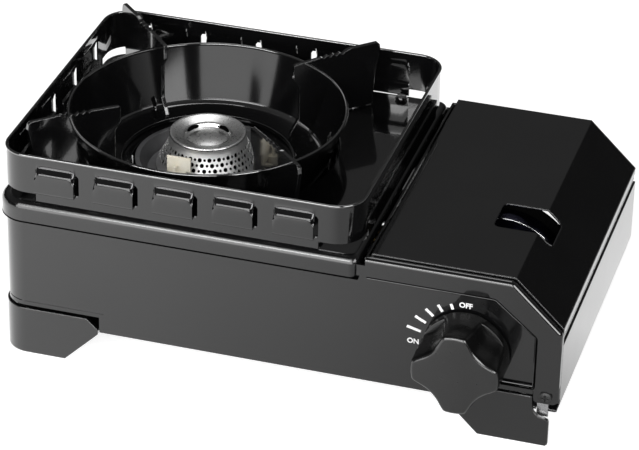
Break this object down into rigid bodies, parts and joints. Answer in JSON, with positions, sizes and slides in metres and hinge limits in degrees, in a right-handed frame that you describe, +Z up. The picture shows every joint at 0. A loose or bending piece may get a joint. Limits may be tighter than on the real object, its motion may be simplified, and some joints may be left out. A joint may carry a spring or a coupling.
{
  "type": "portable gas stove",
  "caption": "Portable butane cassette stove: low black enamelled body, square louvered windshield round a bowl with pan supports and burner, lidded cartridge bay and a lobed knob at the right.",
  "frame": {"origin": "On the table, under the middle of the stove's bounding box.", "axes": "+X to the stove's right, where the cartridge bay is, +Y to its back, +Z up."},
  "size_m": [0.286, 0.1935, 0.122],
  "materials": {
    "enamel": "gloss black enamel",
    "knob_plastic": "satin black",
    "plastic": "matte",
    "steel": "zinc plated",
    "chrome": "bright",
    "aluminium": "as cast or rolled",
    "brass": "plain",
    "ceramic": "cream, satin",
    "wire": "silicone sleeve"
  },
  "bodies": {
    "stove_body": {"body_shell": "enamel", "side_panel": "enamel", "rear_panel": "enamel", "base_plate": "enamel", "partition": "enamel", "top_plate": "enamel", "windshield": "enamel", "windshield_rivets": "steel", "burner_base": "steel", "burner_skirt": "chrome", "burner_cap": "chrome", "burner_head": "steel", "burner_bracket": "steel", "mixing_tube": "steel", "gas_nozzle": "brass", "gas_pipe": "brass", "spark_electrode": "ceramic", "spark_guard": "ceramic", "ignition_lead": "wire", "regulator": "aluminium", "regulator_bracket": "steel", "seat_ring": "chrome", "seat_magnets": "steel", "cradle": "aluminium", "igniter": "plastic", "hinge_pin": "steel", "foot_front_left": "enamel", "foot_front_right": "enamel", "foot_back_left": "enamel", "foot_back_right": "enamel", "foot_screws": "steel", "panel_screws": "plastic", "burner_screws": "steel", "corner_bracket": "steel"},
    "pan_unit": {"pan_bowl": "enamel", "pan_support_front_left": "enamel", "pan_support_front_right": "enamel", "pan_support_back_left": "enamel", "pan_support_back_right": "enamel"},
    "lid_body": {"lid": "enamel"},
    "knob_body": {"knob": "knob_plastic", "knob_shaft": "steel", "igniter_cam": "plastic"},
    "plunger_body": {"igniter_plunger": "steel"}
  },
  "joints": [
    {"name": "lid_hinge", "type": "hinge", "parent": "stove_body", "child": "lid_body", "pos_m": [0.1405, 0.0122, 0.0603], "axis": [0, 1, 0], "range_deg": [0, 95]},
    {"name": "knob_turn", "type": "hinge", "parent": "stove_body", "child": "knob_body", "pos_m": [0.0968, -0.08, 0.0462], "axis": [0, -1, 0], "range_deg": [0, 90]},
    {"name": "plunger_slide", "type": "slide", "parent": "stove_body", "child": "plunger_body", "axis": [1, 0, 0], "range_m": [0, 0.003]},
    {"name": "pan_unit_lift", "type": "slide", "parent": "stove_body", "child": "pan_unit", "axis": [0, 0, 1], "range_m": [0, 0.08]}
  ],
  "couplings": [
    {"joint": "plunger_slide", "follows": "knob_turn", "m_per_rad": 0.0019099}
  ]
}
